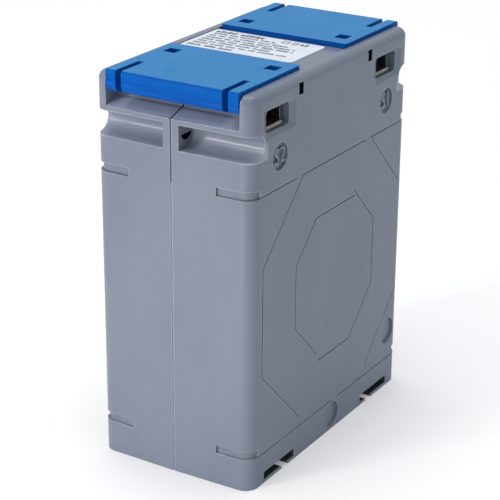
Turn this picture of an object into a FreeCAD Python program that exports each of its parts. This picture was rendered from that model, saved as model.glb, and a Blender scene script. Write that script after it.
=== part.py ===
import FreeCAD, Part
import math
import os
import Sketcher
from FreeCAD import Vector

# A moulded-case current transformer. X is the thickness, with the parting plane of the two
# half shells at X = 0, -Y is the narrow front face, +Z is up, and the origin is the middle of
# the base. All lengths are in millimetres and all angles in degrees.

doc = FreeCAD.newDocument("CurrentTransformer")
sheet = doc.addObject("Spreadsheet::Sheet", "Sizes")

DRIVING_SIZES = [
    # half shells
    ("body_width", 50.0),
    ("body_depth", 88.0),
    ("wall_top", 113.0),
    ("draft", 1.0),
    ("corner_radius", 4.0),
    ("top_edge_radius", 2.4),
    ("shell_wall", 2.2),
    ("end_wall", 2.6),
    ("cheek", 4.0),
    ("line_depth", 0.3),
    ("line_width", 0.45),
    ("seam_depth", 0.4),
    ("seam_width", 0.5),
    ("fit_gap", 0.2),
    # covers and the deck between them
    ("cover_rise", 1.0),
    ("cover_reach", 31.7),
    ("cover_thickness", 2.5),
    ("cover_gap", 0.6),
    ("cover_side_gap", 0.3),
    ("deck_step", 0.4),
    ("lip_height", 6.4),
    ("lip_depth", 5.6),
    ("lip_setback", 0.2),
    ("lip_top_radius", 0.8),
    ("lip_bottom_radius", 2.6),
    ("lip_inner_radius", 2.0),
    ("slit_margin", 3.4),
    ("slit_width", 1.9),
    ("slit_length", 11.0),
    ("cover_corner_radius", 1.0),
    ("hinge_setback", 3.2),
    ("hinge_drop", 3.4),
    ("hinge_pin_radius", 1.4),
    ("hinge_pin_length", 1.9),
    ("running_gap", 0.08),
    # sealing passages
    ("seal_inset", 6.9),
    ("seal_margin", 5.0),
    ("seal_hole", 3.8),
    ("seal_slot_width", 2.7),
    ("seal_slot_height", 3.3),
    # finger chute below each lip
    ("chute_drop", 9.2),
    ("chute_rise", 1.6),
    ("chute_depth", 6.8),
    ("chute_radius", 1.7),
    # grip groove across the front and back faces
    ("groove_drop", 10.6),
    ("groove_height", 7.0),
    ("groove_depth", 6.8),
    ("rib_width", 4.8),
    ("eye_setback", 3.9),
    ("eye_drop", 3.0),
    ("eye_width", 5.0),
    ("eye_height", 1.9),
    # corner slots
    ("slot_lower", 9.6),
    ("slot_upper_drop", 27.9),
    ("slot_height", 2.4),
    ("slot_depth", 0.7),
    ("slot_reach", 11.1),
    # line pattern on the large faces
    ("pattern_y", 1.8),
    ("outer_margin", 4.2),
    ("outer_bottom_z", 9.4),
    ("outer_top_drop", 27.6),
    ("outer_top_flat", 17.4),
    ("outer_bottom_flat", 14.4),
    ("inner_margin", 17.5),
    ("inner_bottom_margin", 16.5),
    ("inner_top_margin", 15.0),
    ("inner_top_flat", 11.55),
    ("inner_bottom_flat", 9.05),
    ("line_gap", 3.4),
    ("line_step", 1.7),
    # round marking fields
    ("mark_shift", 0.3),
    ("mark_drop", 19.0),
    ("mark_radius", 3.8),
    ("mark_depth", 0.8),
    ("foot_mark_setback", 8.0),
    ("foot_mark_z", 18.6),
    ("base_mark_z", 4.7),
    ("large_mark_radius", 4.1),
    # foot channels under the base
    ("foot_setback", 24.4),
    ("foot_width", 16.9),
    ("foot_height", 3.4),
    ("foot_lip", 0.7),
    ("throat_margin", 3.6),
    ("throat_width", 3.6),
    # chambers
    ("coil_floor", 5.6),
    ("roof_wall", 5.4),
    ("mid_floor_wall", 2.2),
    ("mid_roof_drop", 7.4),
    ("mid_margin", 3.4),
    ("spigot_margin", 1.5),
    ("spigot_drop", 9.0),
    ("spigot_radius", 1.1),
    ("spigot_length", 2.5),
    ("base_spigot_margin", 6.5),
    ("base_spigot_z", 2.8),
    # terminals
    ("terminal_setback", 13.9),
    ("port_width", 11.8),
    ("port_height", 6.1),
    ("port_drop", 5.4),
    ("port_corner", 1.2),
    ("funnel_reach", 2.4),
    ("funnel_above", 0.6),
    ("funnel_below", 1.3),
    ("funnel_depth", 0.8),
    ("port_wall", 1.8),
    ("cage_width", 10.6),
    ("cage_height", 7.6),
    ("cage_drop", 4.7),
    ("cage_wall", 1.0),
    ("cage_length", 10.0),
    ("busbar_width", 8.0),
    ("busbar_thickness", 1.2),
    ("busbar_nose", 1.0),
    ("busbar_reach", 2.6),
    ("screw_offset", 5.6),
    ("screw_head_radius", 3.1),
    ("screw_head_height", 2.2),
    ("screw_radius", 1.75),
    ("screw_length", 3.6),
    ("screw_hole_radius", 3.5),
    ("driver_slot", 1.0),
    ("carrier_wall", 1.4),
    # ring core and secondary winding
    ("ring_end_gap", 5.45),
    ("ring_roof_gap", 6.25),
    ("ring_side_gap", 2.95),
    ("ring_sink", 0.4),
    ("core_build", 10.0),
    ("case_gap", 0.15),
    ("case_wall", 0.8),
    ("winding_gap", 0.1),
    ("winding_thickness", 2.2),
    ("tape_thickness", 0.6),
    ("lead_radius", 0.8),
    ("lead_bend", 8.0),
    ("lead_drop", 9.8),
    # primary winding
    ("turns", 4),
    ("turn_gap", 0.6),
    ("strip_thickness", 2.0),
    ("strip_gap", 0.4),
    ("window_drop", 4.6),
    ("window_gap", 0.84),
    ("link_thickness", 1.55),
    ("link_width", 4.0),
    # supports inside the shells
    ("cradle_grip", 5.65),
    ("cradle_shoulder", 4.6),
    ("pad_half", 14.0),
    ("pad_rise", 1.15),
    ("pad_height", 14.0),
    # label
    ("label_thickness", 0.25),
    ("label_front_margin", 3.5),
    ("label_back_margin", 1.5),
    ("label_side_margin", 5.6),
    ("label_gap", 0.4),
    ("label_corner", 1.5),
]

for row, (alias, value) in enumerate(DRIVING_SIZES, start=1):
    sheet.set("A%d" % row, alias)
    sheet.set("B%d" % row, str(value))
    sheet.setAlias("B%d" % row, alias)
doc.recompute()


class Size:
    """A length: its value now and the sheet expression that keeps it up to date."""

    def __init__(self, value, text):
        self.value = float(value)
        self.text = text

    def __add__(self, other):
        other = as_size(other)
        return Size(self.value + other.value, "(%s + %s)" % (self.text, other.text))

    def __sub__(self, other):
        other = as_size(other)
        return Size(self.value - other.value, "(%s - %s)" % (self.text, other.text))

    def __mul__(self, other):
        other = as_size(other)
        return Size(self.value * other.value, "(%s * %s)" % (self.text, other.text))

    def __truediv__(self, other):
        other = as_size(other)
        return Size(self.value / other.value, "(%s / %s)" % (self.text, other.text))

    def __rsub__(self, other):
        return as_size(other) - self

    def __neg__(self):
        return Size(-self.value, "(0 - %s)" % self.text)

    __radd__ = __add__
    __rmul__ = __mul__


def as_size(number):
    """A plain number as a Size, and a Size as it is."""
    if isinstance(number, Size):
        return number
    return Size(number, "(%.6f)" % number)


def root_of(size):
    return Size(math.sqrt(size.value), "sqrt(%s)" % size.text)


def smaller_of(first, second):
    return Size(min(first.value, second.value), "min(%s; %s)" % (first.text, second.text))


class Sheet:
    """The sheet's cells as attributes."""

    def __getattr__(self, alias):
        return Size(sheet.get(alias), "Sizes." + alias)


S = Sheet()
ZERO = as_size(0)
DRAFT_SIN = Size(math.sin(math.radians(S.draft.value)), "sin(Sizes.draft * 1 deg)")
DRAFT_COS = Size(math.cos(math.radians(S.draft.value)), "cos(Sizes.draft * 1 deg)")
DRAFT_TAN = DRAFT_SIN / DRAFT_COS

# Places that several pieces share

BODY_HALF = S.body_width / 2
FACE_Y = S.body_depth / 2
OUTSIDE = 3
CHEEK_IN = BODY_HALF - S.cheek
INNER_X = BODY_HALF - S.shell_wall
INNER_Y = FACE_Y - S.end_wall
DECK_Z = S.wall_top - S.deck_step
DECK_HALF = FACE_Y - S.cover_reach
COVER_TOP = S.wall_top + S.cover_rise
COVER_BOTTOM = COVER_TOP - S.cover_thickness
COVER_FLOOR = COVER_BOTTOM - S.cover_gap
SEAL_X = CHEEK_IN - S.seal_margin
SEAL_Y = DECK_HALF + S.seal_inset
SLIT_INNER = CHEEK_IN - S.slit_margin - S.slit_width
HINGE_Y = FACE_Y - S.hinge_setback
HINGE_Z = COVER_TOP - S.hinge_drop

# Chute, groove, slots and feet
CHUTE_WALL_Y = FACE_Y - S.chute_depth
CHUTE_BEND_Y = CHUTE_WALL_Y + S.chute_radius
CHUTE_FLOOR = S.wall_top - S.chute_drop + S.chute_rise
GROOVE_TOP = S.wall_top - S.groove_drop
GROOVE_BOTTOM = GROOVE_TOP - S.groove_height
EYE_TOP = GROOVE_TOP - S.eye_drop
EYE_Y = FACE_Y - S.eye_setback
EYE_RADIUS = (S.eye_width * S.eye_width / 4 + S.eye_height * S.eye_height) / (S.eye_height * 2)
SLOT_UPPER = S.wall_top - S.slot_upper_drop
SLOT_INNER = BODY_HALF - S.slot_reach
FOOT_INNER = FACE_Y - S.foot_setback
THROAT_INNER = FOOT_INNER + S.throat_margin

# Line pattern: each octagon's corners are cut where its flats end
OUTER_HALF = FACE_Y - S.outer_margin
OUTER_TOP = S.wall_top - S.outer_top_drop
OUTER_SPAN = smaller_of(OUTER_HALF, (OUTER_TOP - S.outer_bottom_z) / 2)
OUTER_TOP_LEG = OUTER_SPAN - S.outer_top_flat
OUTER_BOTTOM_LEG = OUTER_SPAN - S.outer_bottom_flat
INNER_HALF = OUTER_HALF - S.inner_margin
INNER_TOP = OUTER_TOP - S.inner_top_margin
INNER_BOTTOM = S.outer_bottom_z + S.inner_bottom_margin
INNER_SPAN = smaller_of(INNER_HALF, (INNER_TOP - INNER_BOTTOM) / 2)
INNER_TOP_LEG = INNER_SPAN - S.inner_top_flat
INNER_BOTTOM_LEG = INNER_SPAN - S.inner_bottom_flat

# Terminals
TERMINAL_Y = FACE_Y - S.terminal_setback
MARK_Y = TERMINAL_Y - S.mark_shift
MARK_Z = S.wall_top - S.mark_drop
FOOT_MARK_Y = FACE_Y - S.foot_mark_setback
PORT_TOP = S.wall_top - S.port_drop
PORT_BOTTOM = PORT_TOP - S.port_height
FUNNEL_FLOOR_X = BODY_HALF - S.funnel_depth
CHAMBER_X = FUNNEL_FLOOR_X - S.port_wall
CHAMBER_HALF = S.port_width / 2
CAGE_OUT_X = CHAMBER_X - S.fit_gap
CAGE_IN_X = CAGE_OUT_X - S.cage_length
CAGE_TOP = S.wall_top - S.cage_drop
CAGE_BOTTOM = CAGE_TOP - S.cage_height
CHAMBER_ROOF = CAGE_TOP + S.fit_gap
CHAMBER_FLOOR = CAGE_BOTTOM - S.fit_gap / 2
BUSBAR_Z = CAGE_BOTTOM + S.cage_wall
BUSBAR_END = CAGE_OUT_X + S.busbar_nose
TAIL_X = CAGE_IN_X - S.busbar_reach
SCREW_X = CAGE_OUT_X - S.screw_offset

# Chambers and the spigots beside them
COIL_ROOF = GROOVE_BOTTOM - S.roof_wall
MID_FLOOR = COIL_ROOF + S.mid_floor_wall
MID_ROOF = S.wall_top - S.mid_roof_drop
MID_HALF = TERMINAL_Y - CHAMBER_HALF - S.mid_margin
SPIGOT_Y = TERMINAL_Y - CHAMBER_HALF - S.spigot_margin
SPIGOT_Z = S.wall_top - S.spigot_drop
BASE_SPIGOT_Y = FOOT_INNER - S.base_spigot_margin

# The wound ring, from its outer wrap inwards: the largest that fits the coil chamber
RING_Z = (COIL_ROOF + S.coil_floor) / 2 - S.ring_sink
TAPE_OUTER = smaller_of(INNER_Y - S.ring_end_gap,
                        (COIL_ROOF - S.coil_floor) / 2 - S.ring_roof_gap)
WINDING_OUTER = TAPE_OUTER - S.tape_thickness - S.winding_gap
CASE_OUTER = WINDING_OUTER - S.winding_thickness - S.winding_gap
CORE_OUTER = CASE_OUTER - S.case_wall - S.case_gap
CORE_INNER = CORE_OUTER - S.core_build
CASE_INNER = CORE_INNER - S.case_gap - S.case_wall
WINDING_INNER = CASE_INNER - S.winding_gap - S.winding_thickness
TAPE_INNER = WINDING_INNER - S.winding_gap - S.tape_thickness
STRIP_OUT_X = INNER_X - S.ring_side_gap
STRIP_IN_X = STRIP_OUT_X - S.strip_thickness
TAPE_HALF = STRIP_IN_X - S.strip_gap
WINDING_HALF = TAPE_HALF - S.tape_thickness - S.winding_gap
CASE_HALF = WINDING_HALF - S.winding_thickness - S.winding_gap
CORE_HALF = CASE_HALF - S.case_wall - S.case_gap

# The primary's turns share the width of the ring's window
STRIP_TOP = RING_Z + TAPE_OUTER + S.strip_gap + S.strip_thickness
STRIP_BOTTOM = RING_Z + TAPE_INNER - S.window_drop - S.strip_thickness
WINDOW_RISE = TAPE_INNER - S.window_drop
WINDOW_HALF = root_of(TAPE_INNER * TAPE_INNER - WINDOW_RISE * WINDOW_RISE) - S.window_gap
TURN_PITCH = (WINDOW_HALF * 2 + S.turn_gap) / (S.turns + 1)
STRIP_WIDTH = TURN_PITCH - S.turn_gap
FIRST_TURN_Y = -(S.turns * TURN_PITCH / 2)
TAIL_END = STRIP_TOP + S.link_thickness
LEAD_RISE = TAIL_END - S.lead_drop - RING_Z

# Supports and label
CRADLE_RADIUS = TAPE_OUTER + S.winding_gap
CRADLE_DROP = CRADLE_RADIUS - S.cradle_grip
CRADLE_TOP = RING_Z - CRADLE_DROP
PAD_BOTTOM = RING_Z - TAPE_OUTER + S.pad_rise
LABEL_FRONT = DECK_HALF - S.label_front_margin
LABEL_BACK = DECK_HALF - S.label_back_margin
LABEL_RIGHT = CHEEK_IN - S.label_side_margin


# Drawing helpers

def bind(target, prop, size):
    target.setExpression(prop, size.text)


def new_body(label):
    body = doc.addObject("PartDesign::Body", label)
    body.Label = label
    return body


def origin_part(body, role):
    return next(item for item in body.Origin.OriginFeatures if item.Role == role)


def new_sketch(body, name, role, offset=None):
    """A sketch on one of the body's origin planes, moved along its normal by offset."""
    sketch = body.newObject("Sketcher::SketchObject", name)
    sketch.AttachmentSupport = [(origin_part(body, role), "")]
    sketch.MapMode = "FlatFace"
    if offset is not None:
        bind(sketch, "AttachmentOffset.Base.z", as_size(offset))
    return sketch


def fix_point(sketch, edge, end, point):
    """Dimensions one point of an edge from the sketch's origin."""
    for kind, size in (("DistanceX", point[0]), ("DistanceY", point[1])):
        size = as_size(size)
        index = sketch.addConstraint(Sketcher.Constraint(kind, -1, 1, edge, end, size.value))
        bind(sketch, "Constraints[%d]" % index, size)


def arc_between(start, end, radius, turn):
    """The short arc from start to end, turning left for +1 and right for -1."""
    if turn < 0:
        start, end = end, start
    chord = end - start
    rise = math.sqrt(max(radius ** 2 - chord.Length ** 2 / 4, 0))
    left = Vector(-chord.y, chord.x, 0).normalize()
    centre = (start + end) / 2 + left * rise
    first = math.atan2(start.y - centre.y, start.x - centre.x)
    last = math.atan2(end.y - centre.y, end.x - centre.x)
    return Part.ArcOfCircle(Part.Circle(centre, Vector(0, 0, 1), radius), first, last)


def draw_chain(sketch, points, arcs, closed):
    """Lines and arcs from point to point. arcs gives (radius, turn) by the edge's number."""
    points = [(as_size(x), as_size(y)) for x, y in points]
    spots = [Vector(x.value, y.value, 0) for x, y in points]
    first = sketch.GeometryCount
    count = len(points) if closed else len(points) - 1
    for index in range(count):
        start, end = spots[index], spots[(index + 1) % len(points)]
        if index in arcs:
            radius, turn = arcs[index]
            sketch.addGeometry(arc_between(start, end, as_size(radius).value, turn), False)
        else:
            sketch.addGeometry(Part.LineSegment(start, end), False)

    def ends(index):
        backwards = index in arcs and arcs[index][1] < 0
        return (2, 1) if backwards else (1, 2)

    for index in range(count if closed else count - 1):
        following = (index + 1) % count
        sketch.addConstraint(Sketcher.Constraint(
            "Coincident", first + index, ends(index)[1], first + following, ends(following)[0]))
    for index in range(count):
        fix_point(sketch, first + index, ends(index)[0], points[index])
    if not closed:
        fix_point(sketch, first + count - 1, ends(count - 1)[1], points[-1])
    for index, (radius, _turn) in arcs.items():
        radius = as_size(radius)
        place = sketch.addConstraint(Sketcher.Constraint("Radius", first + index, radius.value))
        bind(sketch, "Constraints[%d]" % place, radius)


def draw_outline(sketch, points, arcs=None):
    draw_chain(sketch, points, arcs or {}, True)


def draw_path(sketch, points, arcs=None):
    draw_chain(sketch, points, arcs or {}, False)


def draw_box(sketch, x0, x1, y0, y1):
    draw_outline(sketch, [(x0, y0), (x1, y0), (x1, y1), (x0, y1)])


def draw_circle(sketch, x, y, radius):
    x, y, radius = as_size(x), as_size(y), as_size(radius)
    circle = Part.Circle(Vector(x.value, y.value, 0), Vector(0, 0, 1), radius.value)
    edge = sketch.addGeometry(circle, False)
    fix_point(sketch, edge, 3, (x, y))
    index = sketch.addConstraint(Sketcher.Constraint("Radius", edge, radius.value))
    bind(sketch, "Constraints[%d]" % index, radius)


# Compass directions for line patterns, counted in steps of 45 degrees from +Y towards +Z
HALF_ROOT = math.sqrt(0.5)
COMPASS = [(1, 0), (HALF_ROOT, HALF_ROOT), (0, 1), (-HALF_ROOT, HALF_ROOT),
           (-1, 0), (-HALF_ROOT, -HALF_ROOT), (0, -1), (HALF_ROOT, -HALF_ROOT)]


def draw_stroke(sketch, start, moves, width):
    """A thin band of equal width along moves, each a compass number and a length."""
    spine = [(as_size(start[0]), as_size(start[1]))]
    for heading, length in moves:
        step = COMPASS[heading]
        spine.append((spine[-1][0] + length * step[0], spine[-1][1] + length * step[1]))
    normals = [(-COMPASS[heading][1], COMPASS[heading][0]) for heading, _length in moves]
    sides = [normals[0]]
    for before, after in zip(normals, normals[1:]):
        share = 1 / (1 + before[0] * after[0] + before[1] * after[1])
        sides.append(((before[0] + after[0]) * share, (before[1] + after[1]) * share))
    sides.append(normals[-1])
    half = width / 2
    left = [(x + half * side[0], y + half * side[1]) for (x, y), side in zip(spine, sides)]
    right = [(x - half * side[0], y - half * side[1]) for (x, y), side in zip(spine, sides)]
    draw_outline(sketch, right + left[::-1])


# Feature helpers

def settle(body, feature, grows):
    """Recomputes and makes sure that the feature added or removed material."""
    base = feature.BaseFeature
    old = base.Shape.Volume if base is not None else 0.0
    doc.recompute()
    change = feature.Shape.Volume - old
    if (change <= 0) if grows else (change >= 0):
        raise RuntimeError("%s / %s changed nothing" % (body.Label, feature.Label))
    return feature


def pad(body, name, sketch, length, along=1, middle=False):
    """Adds material from the sketch along its normal, against it, or to both sides."""
    feature = body.newObject("PartDesign::Pad", name)
    feature.Profile = sketch
    feature.Reversed = along < 0
    if middle:
        feature.SideType = "Symmetric"
    bind(feature, "Length", as_size(length))
    return settle(body, feature, True)


def pocket(body, name, sketch, length, along=1, middle=False):
    """Cuts from the sketch along its normal (+1), against it (-1), or to both sides."""
    feature = body.newObject("PartDesign::Pocket", name)
    feature.Profile = sketch
    feature.Reversed = along > 0
    if middle:
        feature.SideType = "Symmetric"
    bind(feature, "Length", as_size(length))
    return settle(body, feature, False)


def revolve(body, name, sketch):
    """A full turn about the sketch's horizontal axis."""
    feature = body.newObject("PartDesign::Revolution", name)
    feature.Profile = sketch
    feature.ReferenceAxis = (sketch, ["H_Axis"])
    feature.Angle = 360
    return settle(body, feature, True)


def fillet(body, name, radius, wanted):
    """Rounds the edges that wanted picks from the body so far."""
    base = body.Tip
    names = ["Edge%d" % (number + 1) for number, edge in enumerate(base.Shape.Edges) if wanted(edge)]
    feature = body.newObject("PartDesign::Fillet", name)
    feature.Base = (base, names)
    bind(feature, "Radius", as_size(radius))
    doc.recompute()
    return feature


def near(first, second):
    return abs(first - second) < 1e-4


# Half shells

def shell_plan(side):
    """The plan outline of one half: drafted ends and rounded outer corners."""
    start_x = BODY_HALF - S.corner_radius + S.corner_radius * DRAFT_SIN
    centre_y = FACE_Y - start_x * DRAFT_TAN - S.corner_radius * DRAFT_COS
    start_y = FACE_Y - start_x * DRAFT_TAN
    points = [(ZERO, -FACE_Y), (side * start_x, -start_y), (side * BODY_HALF, -centre_y),
              (side * BODY_HALF, centre_y), (side * start_x, start_y), (ZERO, FACE_Y)]
    arcs = {1: (S.corner_radius, side), 3: (S.corner_radius, side)}
    return points, arcs


def slot_plan(side, end):
    """The corner slot's outline at one end: its floor follows the rounded corner."""
    radius = S.corner_radius - S.slot_depth
    centre_x = BODY_HALF - S.corner_radius
    run_x = centre_x + S.corner_radius * DRAFT_SIN
    centre_y = FACE_Y - run_x * DRAFT_TAN - S.corner_radius * DRAFT_COS
    start_x = centre_x + radius * DRAFT_SIN
    start_y = centre_y + radius * DRAFT_COS
    inner_y = start_y + (start_x - SLOT_INNER) * DRAFT_TAN
    far_x = BODY_HALF + OUTSIDE
    far_y = FACE_Y + OUTSIDE
    points = [(SLOT_INNER, far_y), (SLOT_INNER, inner_y), (start_x, start_y),
              (centre_x + radius, centre_y), (far_x, centre_y), (far_x, far_y)]
    turn = -side * end
    return [(side * x, end * y) for x, y in points], {2: (radius, turn)}


def chute_fall(y):
    """How far the chute's slope has fallen at y."""
    return S.chute_rise * (y - CHUTE_BEND_Y) / (FACE_Y - CHUTE_BEND_Y)


def top_recess():
    """The long profile above the cover floors, with a finger chute at each end."""
    outer = FACE_Y + OUTSIDE
    top = S.wall_top + OUTSIDE
    half = [(outer, CHUTE_FLOOR - chute_fall(outer)), (CHUTE_BEND_Y, CHUTE_FLOOR),
            (CHUTE_WALL_Y, CHUTE_FLOOR + S.chute_radius),
            (CHUTE_WALL_Y, COVER_FLOOR), (DECK_HALF, COVER_FLOOR), (DECK_HALF, DECK_Z)]
    front = [(-y, z) for y, z in half]
    points = front + half[::-1] + [(outer, top), (-outer, top)]
    arcs = {1: (S.chute_radius, 1), 9: (S.chute_radius, 1)}
    return points, arcs


def seam_profile(end):
    """The parting line's relief: a skin's depth off the end face and the chute."""
    depth = S.seam_depth
    face = FACE_Y - depth
    outer = FACE_Y + OUTSIDE
    top = COVER_FLOOR + OUTSIDE
    points = [(outer, -OUTSIDE), (face, -OUTSIDE), (face, CHUTE_FLOOR - chute_fall(face) - depth),
              (CHUTE_BEND_Y, CHUTE_FLOOR - depth),
              (CHUTE_WALL_Y - depth, CHUTE_FLOOR + S.chute_radius),
              (CHUTE_WALL_Y - depth, top), (outer, top)]
    return [(end * y, z) for y, z in points], {3: (S.chute_radius + depth, -end)}


def groove_profile(end):
    """The grip groove: straight flanks and a fully round floor."""
    radius = S.groove_height / 2
    middle = GROOVE_TOP - radius
    floor_y = FACE_Y - S.groove_depth
    flank_y = floor_y + radius
    outer = FACE_Y + OUTSIDE
    points = [(outer, GROOVE_BOTTOM), (outer, GROOVE_TOP), (flank_y, GROOVE_TOP),
              (floor_y, middle), (flank_y, GROOVE_BOTTOM)]
    return [(end * y, z) for y, z in points], {2: (radius, end), 3: (radius, end)}


def foot_profile(end):
    """The foot channel: a wide slot above two lips with a throat between them."""
    foot_outer = FOOT_INNER + S.foot_width
    throat_outer = THROAT_INNER + S.throat_width
    points = [(THROAT_INNER, -OUTSIDE), (THROAT_INNER, S.foot_lip), (FOOT_INNER, S.foot_lip),
              (FOOT_INNER, S.foot_height), (foot_outer, S.foot_height),
              (foot_outer, S.foot_lip), (throat_outer, S.foot_lip), (throat_outer, -OUTSIDE)]
    return [(end * y, z) for y, z in points]


def draw_face_lines(sketch):
    """Two nested octagons and the two level lines, each broken where the next begins."""
    front = S.pattern_y - OUTER_HALF
    back = S.pattern_y + OUTER_HALF
    top_front = front + OUTER_TOP_LEG
    top_back = back - OUTER_TOP_LEG
    cut_leg = OUTER_BOTTOM_LEG - S.line_gap
    upright_front = OUTER_TOP - OUTER_TOP_LEG - S.outer_bottom_z - OUTER_BOTTOM_LEG
    diagonal = math.sqrt(2)
    face_end = FACE_Y + OUTSIDE
    draw_stroke(sketch, (front + cut_leg, S.outer_bottom_z + OUTER_BOTTOM_LEG - cut_leg), [
        (3, cut_leg * diagonal), (2, upright_front), (1, OUTER_TOP_LEG * diagonal),
        (0, top_back - top_front - S.line_gap)], S.line_width)
    draw_stroke(sketch, (face_end, OUTER_TOP), [
        (4, face_end - top_back), (7, OUTER_TOP_LEG * diagonal), (6, upright_front),
        (5, cut_leg * diagonal)], S.line_width)
    draw_stroke(sketch, (-face_end, OUTER_TOP), [
        (0, face_end + top_front - S.line_gap)], S.line_width)
    draw_stroke(sketch, (-face_end, S.outer_bottom_z), [(0, face_end + S.pattern_y)], S.line_width)
    draw_stroke(sketch, (face_end, S.outer_bottom_z), [
        (4, face_end - S.pattern_y - S.line_gap)], S.line_width)
    inner_front = S.pattern_y - INNER_HALF
    inner_back = S.pattern_y + INNER_HALF
    upright = INNER_TOP - INNER_TOP_LEG - INNER_BOTTOM - INNER_BOTTOM_LEG
    short_leg = INNER_BOTTOM_LEG - S.line_step / 2
    draw_stroke(sketch, (inner_front + short_leg, INNER_BOTTOM + S.line_step * 1.5), [
        (3, short_leg * diagonal), (2, upright - S.line_step), (1, INNER_TOP_LEG * diagonal),
        (0, (INNER_HALF - INNER_TOP_LEG) * 2 - S.line_step)], S.line_width)
    long_leg = INNER_TOP_LEG + S.line_step
    draw_stroke(sketch, (inner_back - long_leg, INNER_TOP + S.line_step), [
        (7, long_leg * diagonal), (6, upright), (5, INNER_BOTTOM_LEG * diagonal),
        (4, (INNER_HALF - INNER_BOTTOM_LEG) * 2)], S.line_width)


def make_shell(label, side):
    """One half shell; side is +1 for the half at +X and -1 for the half at -X."""
    body = new_body(label)
    outward = side
    plan = new_sketch(body, label + "_plan", "XY_Plane")
    draw_outline(plan, *shell_plan(side))
    pad(body, label + "_block", plan, S.wall_top)
    fillet(body, label + "_top_round", S.top_edge_radius, lambda edge: (
        near(edge.BoundBox.ZMin, S.wall_top.value) and abs(edge.CenterOfMass.x) > 0.01))

    recess = new_sketch(body, label + "_recess_profile", "YZ_Plane")
    draw_outline(recess, *top_recess())
    pocket(body, label + "_recess", recess, CHEEK_IN, outward)

    for name, level in (("lower", S.slot_lower), ("upper", SLOT_UPPER)):
        slots = new_sketch(body, "%s_%s_slot_plan" % (label, name), "XY_Plane", level)
        for end in (-1, 1):
            draw_outline(slots, *slot_plan(side, end))
        pocket(body, "%s_%s_slots" % (label, name), slots, S.slot_height)

    grooves = new_sketch(body, label + "_groove_profile", "YZ_Plane", side * S.rib_width / 2)
    for end in (-1, 1):
        draw_outline(grooves, *groove_profile(end))
    pocket(body, label + "_grooves", grooves, S.body_width, outward)

    eye = new_sketch(body, label + "_rib_eye_profile", "YZ_Plane")
    draw_outline(eye, [(-EYE_Y - S.eye_width / 2, EYE_TOP), (-EYE_Y, EYE_TOP - S.eye_height),
                       (S.eye_width / 2 - EYE_Y, EYE_TOP)],
                 {0: (EYE_RADIUS, 1), 1: (EYE_RADIUS, 1)})
    pocket(body, label + "_rib_eye", eye, S.rib_width / 2, outward)

    seams = new_sketch(body, label + "_seam_profile", "YZ_Plane")
    for end in (-1, 1):
        draw_outline(seams, *seam_profile(end))
    pocket(body, label + "_seam", seams, S.seam_width / 2, outward)

    feet = new_sketch(body, label + "_foot_profile", "YZ_Plane")
    for end in (-1, 1):
        draw_outline(feet, foot_profile(end))
    pocket(body, label + "_foot_channels", feet, S.body_width, outward)

    chamber = new_sketch(body, label + "_coil_chamber_profile", "YZ_Plane")
    draw_box(chamber, -INNER_Y, INNER_Y, S.coil_floor, COIL_ROOF)
    pocket(body, label + "_coil_chamber", chamber, INNER_X, outward)

    middle = new_sketch(body, label + "_mid_chamber_profile", "YZ_Plane")
    draw_box(middle, -MID_HALF, MID_HALF, MID_FLOOR, MID_ROOF)
    pocket(body, label + "_mid_chamber", middle, INNER_X, outward)

    terminals = new_sketch(body, label + "_terminal_chamber_profile", "YZ_Plane")
    passages = new_sketch(body, label + "_tail_passage_profile", "YZ_Plane")
    passage_half = S.busbar_width / 2 + S.fit_gap
    for end in (-1, 1):
        middle_y = end * TERMINAL_Y
        draw_box(terminals, middle_y - CHAMBER_HALF, middle_y + CHAMBER_HALF,
                 CHAMBER_FLOOR, CHAMBER_ROOF)
        draw_box(passages, middle_y - passage_half, middle_y + passage_half,
                 COIL_ROOF - OUTSIDE, CHAMBER_FLOOR + S.fit_gap)
    pocket(body, label + "_terminal_chambers", terminals, CHAMBER_X, outward)
    pocket(body, label + "_tail_passages", passages,
           TAIL_X + S.busbar_thickness + S.fit_gap, outward)

    ports = new_sketch(body, label + "_port_profile", "YZ_Plane", side * (CHAMBER_X - S.fit_gap))
    for end in (-1, 1):
        draw_port(ports, end * TERMINAL_Y, ZERO, ZERO, ZERO)
    pocket(body, label + "_ports", ports, S.body_width, outward)
    for end, name in ((-1, "front"), (1, "back")):
        make_funnel(body, "%s_%s_funnel" % (label, name), side, end * TERMINAL_Y)

    screws = new_sketch(body, label + "_screw_hole_plan", "XY_Plane", COVER_FLOOR)
    for end in (-1, 1):
        draw_circle(screws, side * SCREW_X, end * TERMINAL_Y, S.screw_hole_radius)
    pocket(body, label + "_screw_holes", screws, COVER_FLOOR - CHAMBER_ROOF + S.fit_gap, -1)

    seals = new_sketch(body, label + "_seal_slot_profile", "YZ_Plane",
                       side * (SEAL_X - S.seal_hole / 2))
    seal_top = COVER_FLOOR + S.cover_gap
    for end in (-1, 1):
        draw_box(seals, end * SEAL_Y - S.seal_slot_width / 2,
                 end * SEAL_Y + S.seal_slot_width / 2, seal_top - S.seal_slot_height, seal_top)
    pocket(body, label + "_seal_slots", seals, S.body_width, outward)

    hinges = new_sketch(body, label + "_hinge_bore_profile", "YZ_Plane")
    for end in (-1, 1):
        draw_circle(hinges, end * HINGE_Y, HINGE_Z, S.hinge_pin_radius + S.running_gap)
    pocket(body, label + "_hinge_bores", hinges,
           CHEEK_IN - S.cover_side_gap + S.hinge_pin_length + S.fit_gap, outward)

    marks = new_sketch(body, label + "_mark_plan", "YZ_Plane", side * BODY_HALF)
    for end in (-1, 1):
        draw_circle(marks, end * MARK_Y, MARK_Z, S.mark_radius)
    draw_circle(marks, FOOT_MARK_Y, S.foot_mark_z, S.large_mark_radius)
    draw_circle(marks, S.pattern_y, S.base_mark_z, S.large_mark_radius)
    pocket(body, label + "_marks", marks, S.mark_depth, -outward)

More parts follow.
